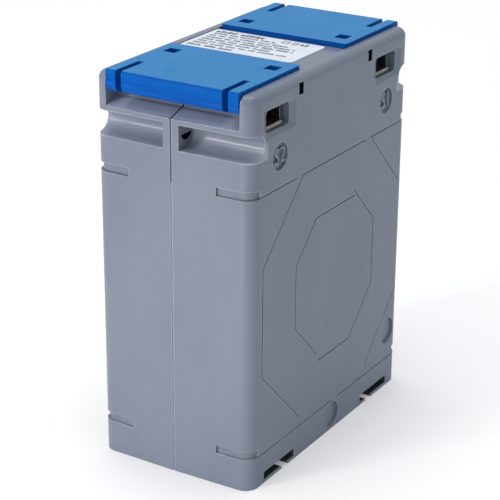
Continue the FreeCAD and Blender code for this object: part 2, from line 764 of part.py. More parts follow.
    lines = new_sketch(body, label + "_line_plan", "YZ_Plane", side * BODY_HALF)
    draw_face_lines(lines)
    pocket(body, label + "_lines", lines, S.line_depth, -outward)
    return body


def draw_port(sketch, middle_y, reach, below, above):
    """A port's outline with rounded corners, widened by reach and by below and above."""
    front = middle_y - S.port_width / 2 - reach
    back = middle_y + S.port_width / 2 + reach
    low = PORT_BOTTOM - below
    high = PORT_TOP + above
    r = S.port_corner
    draw_outline(sketch, [(front + r, low), (back - r, low), (back, low + r), (back, high - r),
                          (back - r, high), (front + r, high), (front, high - r),
                          (front, low + r)], {1: (r, 1), 3: (r, 1), 5: (r, 1), 7: (r, 1)})


def make_funnel(body, name, side, middle_y):
    """The bevelled surround that narrows from the side face to a terminal port."""
    rims = []
    for part, place, reach, below, above in (
            ("rim", BODY_HALF, S.funnel_reach, S.funnel_below, S.funnel_above),
            ("floor", FUNNEL_FLOOR_X, ZERO, ZERO, ZERO)):
        rim = new_sketch(body, "%s_%s" % (name, part), "YZ_Plane", side * place)
        draw_port(rim, middle_y, reach, below, above)
        rims.append(rim)
    loft = body.newObject("PartDesign::SubtractiveLoft", name)
    loft.Profile = rims[0]
    loft.Sections = [rims[1]]
    loft.Ruled = True
    return settle(body, loft, False)


def add_spigots(body, side):
    """Locating spigots on the parting plane of one half."""
    plan = new_sketch(body, "spigot_profile", "YZ_Plane")
    for end in (-1, 1):
        draw_circle(plan, end * SPIGOT_Y, SPIGOT_Z, S.spigot_radius)
        draw_circle(plan, end * BASE_SPIGOT_Y, S.base_spigot_z, S.spigot_radius)
    pad(body, "spigots", plan, S.spigot_length, -side)


def add_sockets(body, side):
    """Sockets for the other half's spigots."""
    plan = new_sketch(body, "socket_profile", "YZ_Plane")
    radius = S.spigot_radius + S.fit_gap
    for end in (-1, 1):
        draw_circle(plan, end * SPIGOT_Y, SPIGOT_Z, radius)
        draw_circle(plan, end * BASE_SPIGOT_Y, S.base_spigot_z, radius)
    pocket(body, "sockets", plan, S.spigot_length + S.fit_gap, side)


# Hinged covers

def make_cover(label, end):
    """One hinged terminal cover; end is -1 for the front and +1 for the back."""
    body = new_body(label)
    half = CHEEK_IN - S.cover_side_gap
    inner_y = DECK_HALF + S.cover_side_gap
    outer_y = FACE_Y - S.lip_setback
    lip_y = outer_y - S.lip_depth
    lip_z = COVER_TOP - S.lip_height
    top_r = S.lip_top_radius
    low_r = S.lip_bottom_radius
    inner_r = S.lip_inner_radius
    points = [(inner_y, COVER_BOTTOM), (inner_y, COVER_TOP), (outer_y - top_r, COVER_TOP),
              (outer_y, COVER_TOP - top_r), (outer_y, lip_z + low_r), (outer_y - low_r, lip_z),
              (lip_y + inner_r, lip_z), (lip_y, lip_z + inner_r), (lip_y, COVER_BOTTOM)]
    arcs = {2: (top_r, -end), 4: (low_r, -end), 6: (inner_r, -end)}
    profile = new_sketch(body, label + "_profile", "YZ_Plane")
    draw_outline(profile, [(end * y, z) for y, z in points], arcs)
    pad(body, label + "_plate", profile, half * 2, middle=True)

    inner_edge = end * inner_y.value
    fillet(body, label + "_inner_corners", S.cover_corner_radius, lambda edge: (
        near(edge.BoundBox.YMin, inner_edge) and near(edge.BoundBox.YMax, inner_edge)
        and near(edge.BoundBox.XMin, edge.BoundBox.XMax)))

    cuts = new_sketch(body, label + "_cut_plan", "XY_Plane", COVER_TOP)
    slit_y = [end * (FACE_Y + OUTSIDE), end * (FACE_Y - S.slit_length)]
    hole = S.seal_hole / 2
    for side in (-1, 1):
        draw_box(cuts, side * SLIT_INNER, side * (SLIT_INNER + S.slit_width), *slit_y)
        draw_box(cuts, side * SEAL_X - hole, side * SEAL_X + hole,
                 end * SEAL_Y - hole, end * SEAL_Y + hole)
    pocket(body, label + "_slits_and_seal_holes", cuts, S.lip_height + OUTSIDE, -1)

    for side, name in ((-1, "left"), (1, "right")):
        pin = new_sketch(body, "%s_%s_pin_plan" % (label, name), "YZ_Plane", side * half)
        draw_circle(pin, end * HINGE_Y, HINGE_Z, S.hinge_pin_radius)
        pad(body, "%s_%s_pin" % (label, name), pin, S.hinge_pin_length, side)
    return body


# Terminals

def make_cage(label, side, end):
    """The square steel cage that holds a conductor on the busbar."""
    body = new_body(label)
    middle = end * TERMINAL_Y
    section = new_sketch(body, label + "_section", "YZ_Plane", side * CAGE_IN_X)
    draw_box(section, middle - S.cage_width / 2, middle + S.cage_width / 2,
             CAGE_BOTTOM, CAGE_TOP)
    wall = S.cage_wall
    draw_box(section, middle - S.cage_width / 2 + wall, middle + S.cage_width / 2 - wall,
             CAGE_BOTTOM + wall, CAGE_TOP - wall)
    pad(body, label + "_tube", section, S.cage_length, side)
    tapping = new_sketch(body, label + "_tapping", "XY_Plane", CAGE_TOP)
    draw_circle(tapping, side * SCREW_X, middle, S.screw_radius + S.running_gap)
    pocket(body, label + "_tapped_hole", tapping, wall, -1)
    return body


def make_busbar(label, side, end):
    """The folded strip on the cage's floor, with a tail down into the coil chamber."""
    body = new_body(label)
    section = new_sketch(body, label + "_section", "XZ_Plane", -end * TERMINAL_Y)
    top = BUSBAR_Z + S.busbar_thickness
    fold_x = TAIL_X + S.busbar_thickness
    points = [(TAIL_X, TAIL_END), (fold_x, TAIL_END), (fold_x, BUSBAR_Z),
              (BUSBAR_END, BUSBAR_Z), (BUSBAR_END, top), (TAIL_X, top)]
    draw_outline(section, [(side * x, z) for x, z in points])
    pad(body, label + "_strip", section, S.busbar_width, middle=True)
    return body


def make_screw(label, side, end):
    """A terminal screw: a round head with a driver slot, and a plain shank."""
    body = new_body(label)
    head_z = CAGE_TOP + S.fit_gap
    x = side * SCREW_X
    y = end * TERMINAL_Y
    for part, radius, start, length in (
            ("head", S.screw_head_radius, head_z, S.screw_head_height),
            ("shank", S.screw_radius, head_z - S.screw_length, S.screw_length)):
        plan = new_sketch(body, "%s_%s_plan" % (label, part), "XY_Plane", start)
        draw_circle(plan, x, y, radius)
        pad(body, "%s_%s" % (label, part), plan, length)
    top = head_z + S.screw_head_height
    slot = new_sketch(body, label + "_slot_plan", "XY_Plane", top)
    draw_box(slot, x - S.driver_slot / 2, x + S.driver_slot / 2,
             y - S.screw_head_radius - OUTSIDE, y + S.screw_head_radius + OUTSIDE)
    pocket(body, label + "_driver_slot", slot, S.screw_head_height / 2, -1)
    return body


def make_carrier(label, end):
    """The moulded spacer that holds a pair of cages against their ports."""
    body = new_body(label)
    middle = end * TERMINAL_Y
    half = S.cage_width / 2
    section = new_sketch(body, label + "_section", "YZ_Plane")
    draw_box(section, middle - half, middle + half, CAGE_BOTTOM, CAGE_TOP)
    length = (TAIL_X - S.fit_gap) * 2
    pad(body, label + "_block", section, length, middle=True)
    wall = S.carrier_wall
    for side, name in ((-1, "left"), (1, "right")):
        hollow = new_sketch(body, "%s_%s_hollow_plan" % (label, name), "YZ_Plane", side * wall / 2)
        draw_box(hollow, middle - half + wall, middle + half - wall,
                 CAGE_BOTTOM + wall, CAGE_TOP - wall)
        pocket(body, "%s_%s_hollow" % (label, name), hollow, length, side)
    return body


# Ring core and windings

def make_ring(label, inner, outer, start, end, hollow=None):
    """A ring about the coil's axis with a plain or hollow section."""
    body = new_body(label)
    section = new_sketch(body, label + "_section", "XY_Plane", RING_Z)
    draw_box(section, start, end, inner, outer)
    if hollow is not None:
        draw_box(section, *hollow)
    revolve(body, label + "_ring", section)
    return body


def make_core_tray():
    """The insulating tray: a channel that the ring core drops into."""
    body = new_body("core_tray")
    section = new_sketch(body, "core_tray_section", "XY_Plane", RING_Z)
    wall = S.case_wall
    rim = CORE_HALF + S.case_gap
    points = [(-CASE_HALF, CASE_INNER), (rim, CASE_INNER), (rim, CASE_INNER + wall),
              (wall - CASE_HALF, CASE_INNER + wall), (wall - CASE_HALF, CASE_OUTER - wall),
              (rim, CASE_OUTER - wall), (rim, CASE_OUTER), (-CASE_HALF, CASE_OUTER)]
    draw_outline(section, points)
    revolve(body, "core_tray_ring", section)
    return body


def lead_bend_points():
    """Where a lead leaves its tail, turns towards the ring's centre and meets the winding."""
    arm = TERMINAL_Y
    slant = root_of(arm * arm + LEAD_RISE * LEAD_RISE)
    trim = S.lead_bend * arm / (slant + LEAD_RISE)
    reach = WINDING_OUTER + S.winding_gap * 2
    return [(arm, TAIL_END), (arm, RING_Z + LEAD_RISE + trim),
            (arm - trim * arm / slant, RING_Z + LEAD_RISE - trim * LEAD_RISE / slant),
            (reach * arm / slant, RING_Z + reach * LEAD_RISE / slant)]


def make_tape():
    """The outer wrap of the ring, with a hole for each secondary lead."""
    hollow = (-WINDING_HALF - S.winding_gap, WINDING_HALF + S.winding_gap,
              WINDING_INNER - S.winding_gap, WINDING_OUTER + S.winding_gap)
    body = make_ring("winding_tape", TAPE_INNER, TAPE_OUTER, -TAPE_HALF, TAPE_HALF, hollow)
    tilt = Size(math.degrees(math.atan2(TERMINAL_Y.value, LEAD_RISE.value)),
                "atan(%s / %s)" % (TERMINAL_Y.text, LEAD_RISE.text))
    for end, name in ((-1, "front"), (1, "back")):
        hole = new_sketch(body, "winding_tape_%s_hole_plan" % name, "XY_Plane")
        hole.AttachmentOffset = FreeCAD.Placement(
            Vector(0, 0, RING_Z.value), FreeCAD.Rotation(Vector(-end, 0, 0), tilt.value))
        bind(hole, "AttachmentOffset.Base.z", RING_Z)
        bind(hole, "AttachmentOffset.Rotation.Angle", tilt)
        draw_circle(hole, TAIL_X + S.busbar_thickness / 2, ZERO, S.lead_radius + S.fit_gap)
        pocket(body, "winding_tape_%s_hole" % name, hole, TAPE_OUTER + OUTSIDE, 1)
    return body


def make_secondary_lead(label, end):
    """A round lead from a busbar's tail, bent towards the ring and into its wrap."""
    body = new_body(label)
    lead_x = TAIL_X + S.busbar_thickness / 2
    path = new_sketch(body, label + "_path", "YZ_Plane", lead_x)
    draw_path(path, [(end * y, z) for y, z in lead_bend_points()], {1: (S.lead_bend, -end)})
    section = new_sketch(body, label + "_section", "XY_Plane", TAIL_END)
    draw_circle(section, lead_x, end * TERMINAL_Y, S.lead_radius)
    pipe = body.newObject("PartDesign::AdditivePipe", label + "_wire")
    pipe.Profile = section
    pipe.Spine = (path, [])
    settle(body, pipe, True)
    return body


def make_primary_winding():
    """Turns of flat strip through the ring's window, each stepped to the next over the top."""
    body = new_body("primary_winding")
    half_strip = STRIP_WIDTH / 2
    y0 = FIRST_TURN_Y
    parts = []
    legs = new_sketch(body, "leg_plan", "XY_Plane", STRIP_BOTTOM)
    for side in (-1, 1):
        draw_box(legs, side * STRIP_IN_X, side * STRIP_OUT_X, y0 - half_strip, y0 + half_strip)
    floor = new_sketch(body, "window_run_plan", "XY_Plane", STRIP_BOTTOM)
    draw_box(floor, -STRIP_OUT_X, STRIP_OUT_X, y0 - half_strip, y0 + half_strip)
    parts.append(pad(body, "window_run", floor, S.strip_thickness))
    parts.append(pad(body, "legs", legs, STRIP_TOP - STRIP_BOTTOM))
    step = new_sketch(body, "top_run_plan", "XY_Plane", STRIP_TOP)
    draw_outline(step, [
        (STRIP_OUT_X, y0 - half_strip), (STRIP_OUT_X, y0 + half_strip),
        (STRIP_IN_X, y0 + half_strip), (-STRIP_IN_X, y0 + half_strip + TURN_PITCH),
        (-STRIP_OUT_X, y0 + half_strip + TURN_PITCH),
        (-STRIP_OUT_X, y0 - half_strip + TURN_PITCH),
        (-STRIP_IN_X, y0 - half_strip + TURN_PITCH), (STRIP_IN_X, y0 - half_strip)])
    parts.append(pad(body, "top_run", step, S.strip_thickness, -1))
    pattern = body.newObject("PartDesign::LinearPattern", "turns")
    pattern.Originals = parts
    pattern.Direction = (origin_part(body, "Y_Axis"), [""])
    bind(pattern, "Occurrences", S.turns)
    bind(pattern, "Length", TURN_PITCH * (S.turns - 1))
    body.Tip = pattern
    doc.recompute()
    return body


def make_primary_link(label, end):
    """The flat link from one end of the primary winding to a busbar's tail."""
    body = new_body(label)
    start_y = -(FIRST_TURN_Y + STRIP_WIDTH / 2)
    far_y = TERMINAL_Y + S.link_width / 2
    out_x = STRIP_OUT_X
    in_x = STRIP_OUT_X - S.link_width
    foot_x = TAIL_X - S.fit_gap
    plan = new_sketch(body, label + "_plan", "XY_Plane", STRIP_TOP)
    points = [(out_x, start_y), (out_x, far_y), (foot_x, far_y), (foot_x, far_y - S.link_width),
              (in_x, far_y - S.link_width), (in_x, start_y)]
    draw_outline(plan, [(-x, end * y) for x, y in points])
    pad(body, label + "_strip", plan, S.link_thickness)
    return body


# Supports inside the casing

def make_cradle():
    """The moulded seat that the ring rests in."""
    body = new_body("coil_cradle")
    profile = new_sketch(body, "coil_cradle_profile", "YZ_Plane")
    seat_y = root_of(CRADLE_RADIUS * CRADLE_RADIUS - CRADLE_DROP * CRADLE_DROP)
    half = seat_y + S.cradle_shoulder
    base = S.coil_floor + S.fit_gap / 2
    points = [(-half, base), (half, base), (half, CRADLE_TOP),
              (seat_y, CRADLE_TOP), (-seat_y, CRADLE_TOP), (-half, CRADLE_TOP)]
    draw_outline(profile, points, {3: (CRADLE_RADIUS, -1)})
    pad(body, "coil_cradle_block", profile, TAPE_HALF * 2, middle=True)
    return body


def make_pad(label, side):
    """A foam pad between the ring's flat side and the casing."""
    body = new_body(label)
    plan = new_sketch(body, label + "_plan", "YZ_Plane", side * (TAPE_HALF + S.winding_gap))
    draw_box(plan, -S.pad_half, S.pad_half, PAD_BOTTOM, PAD_BOTTOM + S.pad_height)
    pad(body, label + "_block", plan, INNER_X - TAPE_HALF - S.winding_gap * 2, side)
    return body


def make_label():
    """The thin rating label on the deck between the covers."""
    body = new_body("rating_label")
    left = S.label_gap - CHEEK_IN
    right = LABEL_RIGHT
    front = -LABEL_FRONT
    back = LABEL_BACK
    corner = S.label_corner
    plan = new_sketch(body, "rating_label_plan", "XY_Plane", DECK_Z)
    draw_outline(plan, [(left, front), (right - corner, front), (right, front + corner),
                        (right, back - corner), (right - corner, back), (left, back)],
                 {1: (corner, 1), 3: (corner, 1)})
    pad(body, "rating_label_sheet", plan, S.label_thickness)
    return body


# Assembly

right_shell = make_shell("right_shell", 1)
add_spigots(right_shell, 1)
left_shell = make_shell("left_shell", -1)
add_sockets(left_shell, -1)
pieces = [right_shell, left_shell, make_cover("front_cover", -1), make_cover("back_cover", 1)]
for mark, side, end in (("s2", 1, -1), ("s1", 1, 1), ("p1", -1, -1), ("p2", -1, 1)):
    pieces.append(make_cage("terminal_cage_" + mark, side, end))
    pieces.append(make_busbar("busbar_" + mark, side, end))
    pieces.append(make_screw("terminal_screw_" + mark, side, end))
for name, end in (("front", -1), ("back", 1)):
    pieces.append(make_carrier("terminal_carrier_" + name, end))
    pieces.append(make_secondary_lead("secondary_lead_" + name, end))
    pieces.append(make_primary_link("primary_link_" + name, end))
pieces.append(make_ring("ring_core", CORE_INNER, CORE_OUTER, -CORE_HALF, CORE_HALF))
pieces.append(make_core_tray())
pieces.append(make_ring("core_lid", CASE_INNER, CASE_OUTER, CORE_HALF + S.case_gap, CASE_HALF))
pieces.append(make_ring(
    "secondary_winding", WINDING_INNER, WINDING_OUTER, -WINDING_HALF, WINDING_HALF,
    (-CASE_HALF - S.winding_gap, CASE_HALF + S.winding_gap,
     CASE_INNER - S.winding_gap, CASE_OUTER + S.winding_gap)))
pieces.append(make_tape())
pieces.append(make_primary_winding())
pieces.append(make_cradle())
pieces.append(make_pad("side_pad_right", 1))
pieces.append(make_pad("side_pad_left", -1))
pieces.append(make_label())

doc.recompute()
for item in doc.Objects:
    if "Invalid" in item.State or "Error" in item.State:
        raise RuntimeError("%s failed: %s" % (item.Label, item.State))
for piece in pieces:
    shape = piece.Shape
    if shape.isNull() or not shape.isValid() or not shape.Solids:
        raise RuntimeError("%s has no sound solid" % piece.Label)

os.makedirs("parts", exist_ok=True)
for piece in pieces:
    piece.Shape.exportStep("parts/%s.step" % piece.Label)
    print("%-24s %2d solid %10.1f mm3" % (piece.Label, len(piece.Shape.Solids), piece.Shape.Volume))
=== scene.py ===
import math
import random

import bmesh
import bpy
from mathutils import Matrix, Vector


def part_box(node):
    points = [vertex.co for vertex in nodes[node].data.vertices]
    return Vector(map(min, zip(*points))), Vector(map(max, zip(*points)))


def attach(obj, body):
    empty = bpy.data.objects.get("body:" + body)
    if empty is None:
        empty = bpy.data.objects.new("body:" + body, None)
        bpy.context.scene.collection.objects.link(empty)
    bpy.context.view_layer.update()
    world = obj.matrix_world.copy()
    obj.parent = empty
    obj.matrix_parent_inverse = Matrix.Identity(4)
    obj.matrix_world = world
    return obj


# Looks for a moulded current transformer: materials, terminal marks, a printed label, a pale
# studio floor, soft light and a camera. Everything is in metres in the part's own frame, and MM
# turns millimetres into metres.

MM = 0.001

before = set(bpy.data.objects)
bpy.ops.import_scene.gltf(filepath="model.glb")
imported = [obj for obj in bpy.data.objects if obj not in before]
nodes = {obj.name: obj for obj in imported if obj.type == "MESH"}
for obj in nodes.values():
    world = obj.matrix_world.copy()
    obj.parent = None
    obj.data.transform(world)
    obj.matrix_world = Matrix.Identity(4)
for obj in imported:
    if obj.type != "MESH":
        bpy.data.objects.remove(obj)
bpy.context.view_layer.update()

CASING_BODY = "casing"

# The outside of the case in millimetres: its large face, its narrow face and its top
CASE_SIDE, CASE_END, CASE_TOP = (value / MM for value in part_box("right_shell")[1])


# Node helpers

# The range that holds most values of a noise
NOISE_MIDDLE = (0.3, 0.7)

# How closely a rounded normal keeps to its face: where an edge begins, and where it is full
SOFT_EDGE = (0.995, 0.75)
WEAR_AND_HIGHLIGHT_EDGE = (0.99, 0.8)

# The share of open sky at which an edge begins to count as an outer one, and does so fully
OUTER_EDGE_SKY = (0.62, 0.86)

# The upward share of a normal at which a face begins to look upward, and does so fully
UPWARD = (0.8, 0.97)

BEVEL_SAMPLES = 6
SKY_SAMPLES = 8

# A wave texture of scale 1 draws about this many bands to the metre
WAVE_BANDS = 3.2


class Nodes:
    """Shorthand for filling the node tree of a material or a world."""

    def __init__(self, tree):
        self.tree = tree
        self.tree.nodes.clear()

    def node(self, kind, **settings):
        node = self.tree.nodes.new(kind)
        for key, value in settings.items():
            setattr(node, key, value)
        return node

    def link(self, source, target):
        """Feed a socket from another socket, or set it to a constant."""
        if isinstance(source, (int, float, tuple)):
            target.default_value = source
        else:
            self.tree.links.new(source, target)

    def ramp(self, value, source, target=(0.0, 1.0)):
        """Carry a value over from the source range to the target range."""
        node = self.node("ShaderNodeMapRange", clamp=True)
        self.link(value, node.inputs["Value"])
        for end, place in (("Min", 0), ("Max", 1)):
            node.inputs["From " + end].default_value = source[place]
            node.inputs["To " + end].default_value = target[place]
        return node.outputs["Result"]

    def camera_switch(self, other_rays, camera_rays):
        """One shader for the rays that light the scene and one for what the camera sees."""
        pick = self.node("ShaderNodeMixShader")
        rays = self.node("ShaderNodeLightPath")
        self.link(rays.outputs["Is Camera Ray"], pick.inputs["Fac"])
        self.link(other_rays, pick.inputs[1])
        self.link(camera_rays, pick.inputs[2])
        return pick.outputs["Shader"]


class Shader(Nodes):
    """A small builder for one procedural material."""

    def __init__(self, name):
        self.material = bpy.data.materials.new(name)
        self.material.use_nodes = True
        super().__init__(self.material.node_tree)
        self.out = self.node("ShaderNodeOutputMaterial")
        self.place = self.node("ShaderNodeTexCoord").outputs["Object"]

    def noise(self, size, detail, roughness, stretch=(1, 1, 1), shift=0.0):
        """Noise whose features are about size metres across."""
        mapping = self.node("ShaderNodeMapping")
        mapping.inputs["Location"].default_value = (shift, shift, shift)
        mapping.inputs["Scale"].default_value = stretch
        self.link(self.place, mapping.inputs["Vector"])
        node = self.node("ShaderNodeTexNoise")
        self.link(mapping.outputs["Vector"], node.inputs["Vector"])
        node.inputs["Scale"].default_value = 1.0 / size
        node.inputs["Detail"].default_value = detail
        node.inputs["Roughness"].default_value = roughness
        return node.outputs["Fac"]

    def wave(self, period, distortion, **settings):
        """Bands that are about period metres apart."""
        node = self.node("ShaderNodeTexWave", wave_type="BANDS", **settings)
        self.link(self.place, node.inputs["Vector"])
        node.inputs["Scale"].default_value = 1.0 / (WAVE_BANDS * period)
        node.inputs["Distortion"].default_value = distortion
        return node.outputs["Fac"]

    def cells(self, size):
        """Distance from the middle of cells that are about size metres across."""
        node = self.node("ShaderNodeTexVoronoi", feature="F1")
        self.link(self.place, node.inputs["Vector"])
        node.inputs["Scale"].default_value = 1.0 / size
        return node.outputs["Distance"]

    def spread(self, noise, target=(0.0, 1.0)):
        """Stretch the middle of a noise over the target range."""
        return self.ramp(noise, NOISE_MIDDLE, target)

    def calculate(self, operation, first, second):
        node = self.node("ShaderNodeMath", operation=operation)
        self.link(first, node.inputs[0])
        self.link(second, node.inputs[1])
        return node.outputs[0]

    def multiply(self, first, second):
        return self.calculate("MULTIPLY", first, second)

    def mix(self, factor, first, second):
        """The first colour where the factor is 0 and the second where it is 1."""
        node = self.node("ShaderNodeMix", data_type="RGBA")
        self.link(factor, node.inputs["Factor"])
        self.link(first, node.inputs["A"])
        self.link(second, node.inputs["B"])
        return node.outputs["Result"]

    def bump(self, height, depth, under=None):
        """A normal with relief that is depth metres deep, laid over another normal."""
        node = self.node("ShaderNodeBump")
        node.inputs["Distance"].default_value = depth
        node.inputs["Strength"].default_value = 1.0
        self.link(height, node.inputs["Height"])
        if under is not None:
            self.link(under, node.inputs["Normal"])
        return node.outputs["Normal"]

    def rounded(self, radius):
        """A normal that rounds sharp edges and corners."""
        bevel = self.node("ShaderNodeBevel", samples=BEVEL_SAMPLES)
        bevel.inputs["Radius"].default_value = radius
        return bevel.outputs["Normal"]

    def turned(self, normal, alignment):
        """A mask that is 1 along edges, where a rounded normal turns away from the face."""
        dot = self.node("ShaderNodeVectorMath", operation="DOT_PRODUCT")
        self.link(normal, dot.inputs[0])
        self.link(self.node("ShaderNodeNewGeometry").outputs["True Normal"], dot.inputs[1])
        return self.ramp(dot.outputs["Value"], alignment)

    def open_sky(self, reach):
        """How much of the space within reach is free: 1 outside, near 0 deep in a hole."""
        hollow = self.node("ShaderNodeAmbientOcclusion", samples=SKY_SAMPLES)
        hollow.inputs["Distance"].default_value = reach
        return hollow.outputs["AO"]

    def edge_wear_and_highlight(self, width, sky):
        """A mask that is 1 on a fine line along outer edges and 0 in inner corners, for edge wear
        with a painted highlight.
        """
        edge = self.turned(self.rounded(width), WEAR_AND_HIGHLIGHT_EDGE)
        return self.multiply(edge, self.ramp(sky, OUTER_EDGE_SKY))

    def inside(self, zone):
        """A mask that is 1 in a box in millimetres and in its images across X = 0 and Y = 0."""
        low, high = zone
        folded = self.node("ShaderNodeVectorMath", operation="ABSOLUTE")
        self.link(self.place, folded.inputs[0])
        split = self.node("ShaderNodeSeparateXYZ")
        self.link(folded.outputs["Vector"], split.inputs["Vector"])
        mask = 1.0
        for axis in range(3):
            above = self.calculate("GREATER_THAN", split.outputs[axis], low[axis] * MM)
            below = self.calculate("LESS_THAN", split.outputs[axis], high[axis] * MM)
            mask = self.multiply(mask, self.multiply(above, below))
        return mask

    def level(self, heights):
        """A mask that goes from 0 at the first height to 1 at the second, in millimetres."""
        split = self.node("ShaderNodeSeparateXYZ")
        self.link(self.place, split.inputs["Vector"])
        return self.ramp(split.outputs["Z"], [height * MM for height in heights])

    def facing_up(self):
        """A mask that is 1 on faces that look upward in the part's frame."""
        split = self.node("ShaderNodeSeparateXYZ")
        self.link(self.node("ShaderNodeTexCoord").outputs["Normal"], split.inputs["Vector"])
        return self.ramp(split.outputs["Z"], UPWARD)

    def finish(self, color, roughness, normal, metallic=0.0, specular=0.5):
        shader = self.node("ShaderNodeBsdfPrincipled")
        self.link(color, shader.inputs["Base Color"])
        self.link(roughness, shader.inputs["Roughness"])
        self.link(normal, shader.inputs["Normal"])
        shader.inputs["Metallic"].default_value = metallic
        shader.inputs["Specular IOR Level"].default_value = specular
        self.link(shader.outputs["BSDF"], self.out.inputs["Surface"])
        return self.material


def srgb(red, green, blue):
    """A colour from 0-255 display values."""
    parts = []
    for value in (red, green, blue):
        value /= 255
        parts.append(value / 12.92 if value <= 0.04045 else ((value + 0.055) / 1.055) ** 2.4)
    return (*parts, 1.0)


# Case plastic

# Zones of the case that get painted shade or painted light, as the low and the high corner of a
# box in millimetres. Each stands for its images on the other sides too.
SEAL_EYE = ((0.0, CASE_END - 6.5, CASE_TOP - 15.6), (2.36, CASE_END - 1.3, CASE_TOP - 13.55))
SEAL_SLOT = ((CASE_SIDE - 3.95, 17.8, CASE_TOP - 4.9), (CASE_SIDE - 0.4, 20.6, CASE_TOP - 1.4))
FOOT_CHANNEL = ((0.0, CASE_END - 24.5, 0.1), (CASE_SIDE - 0.5, CASE_END - 7.4, 3.5))
SEAM_SKIN = ((0.0, CASE_END - 0.7, 0.0), (0.26, CASE_END + 0.1, 86.0))
FINGER_CHUTE = ((0.3, CASE_END - 6.4, CASE_TOP - 10.0),
                (CASE_SIDE - 4.1, CASE_END - 0.5, CASE_TOP - 6.8))
GRIP_GROOVE = ((2.6, CASE_END - 8.0, CASE_TOP - 18.0),
               (CASE_SIDE + 0.1, CASE_END - 0.4, CASE_TOP - 12.0))

# The painted light on the grip grooves sets in below the first height and is full at the second
GROOVE_FADE = (CASE_TOP - 12.6, CASE_TOP - 15.6)

CASE_GREYS = (srgb(112, 120, 137), srgb(118, 127, 143))
CASE_CLOUD = srgb(128, 136, 151)
CASE_WEAR_AND_HIGHLIGHT = srgb(196, 202, 214)
CASE_PAINTED_SHADE = srgb(16, 18, 22)
CASE_PAINTED_LIGHT = srgb(168, 178, 198)
SEAM_PAINTED_LIGHT = srgb(170, 176, 190)
EYE_PAINTED_SHADE = srgb(6, 6, 8)
SLOT_PAINTED_SHADE = srgb(20, 22, 28)
CHANNEL_PAINTED_SHADE = srgb(22, 25, 36)

# How strongly the painted light and the painted shade cover their zones
CHUTE_PAINTED_LIGHT = 0.75
GROOVE_PAINTED_LIGHT = 0.6
CHANNEL_SHADE = 0.75


def casing_plastic(name, shift):
    """Satin grey thermoplastic with a fine spark-eroded skin, faint flow marks, edge wear with a
    painted highlight, painted shade in holes and painted light in hollows.
    """
    s = Shader(name)
    sky = s.open_sky(reach=1.6 * MM)
    wear_and_highlight = s.edge_wear_and_highlight(0.5 * MM, sky)
    flow = s.noise(24 * MM, detail=3, roughness=0.55, stretch=(1, 1, 0.45), shift=shift)
    cloud = s.noise(5 * MM, detail=3, roughness=0.6, shift=shift)
    grain = s.noise(0.16 * MM, detail=2, roughness=0.6)
    groove = s.multiply(s.inside(GRIP_GROOVE), s.level(GROOVE_FADE))

    color = s.mix(s.spread(flow), *CASE_GREYS)
    color = s.mix(s.ramp(cloud, (0.35, 0.75), (0.0, 0.14)), color, CASE_CLOUD)
    # Lighter outer edges: edge wear with a painted highlight
    color = s.mix(s.multiply(wear_and_highlight, s.spread(cloud, (0.5, 0.9))), color, CASE_WEAR_AND_HIGHLIGHT)
    # Painted shade: deep crevices and holes turn near black where little open sky is left
    color = s.mix(s.ramp(sky, (0.3, 0.05)), color, CASE_PAINTED_SHADE)
    # Painted light: the finger chute under the cover's lip and the lower slopes of the grip
    # grooves are lightened where they lie in shade
    color = s.mix(s.multiply(s.inside(FINGER_CHUTE), CHUTE_PAINTED_LIGHT), color, CASE_PAINTED_LIGHT)
    color = s.mix(s.multiply(groove, GROOVE_PAINTED_LIGHT), color, CASE_PAINTED_LIGHT)
    # Painted light: the walls of the seam near the narrow face are lightened against their shade
    color = s.mix(s.inside(SEAM_SKIN), color, SEAM_PAINTED_LIGHT)
    # Painted shade: the seal eyes, the seal slots and the foot channels are darkened as unlit
    # hollows
    color = s.mix(s.inside(SEAL_EYE), color, EYE_PAINTED_SHADE)
    color = s.mix(s.inside(SEAL_SLOT), color, SLOT_PAINTED_SHADE)
    color = s.mix(s.multiply(s.inside(FOOT_CHANNEL), CHANNEL_SHADE), color, CHANNEL_PAINTED_SHADE)

    roughness = s.ramp(cloud, (0.25, 0.75), (0.2, 0.23))
    normal = s.bump(flow, 0.02 * MM, s.rounded(0.45 * MM))
    normal = s.bump(grain, 0.01 * MM, normal)
    return s.finish(color, roughness, normal, specular=0.45)


# Cover plastic

COVER_FRESH = (srgb(0, 72, 160), srgb(0, 90, 176))
COVER_PAINTED_SHEEN = (srgb(48, 124, 183), srgb(54, 130, 189))
COVER_CLOUD = srgb(10, 106, 182)
COVER_SCUFF = srgb(40, 136, 206)
COVER_WEAR_AND_HIGHLIGHT = srgb(10, 132, 220)
COVER_PAINTED_SHADE = srgb(0, 18, 48)


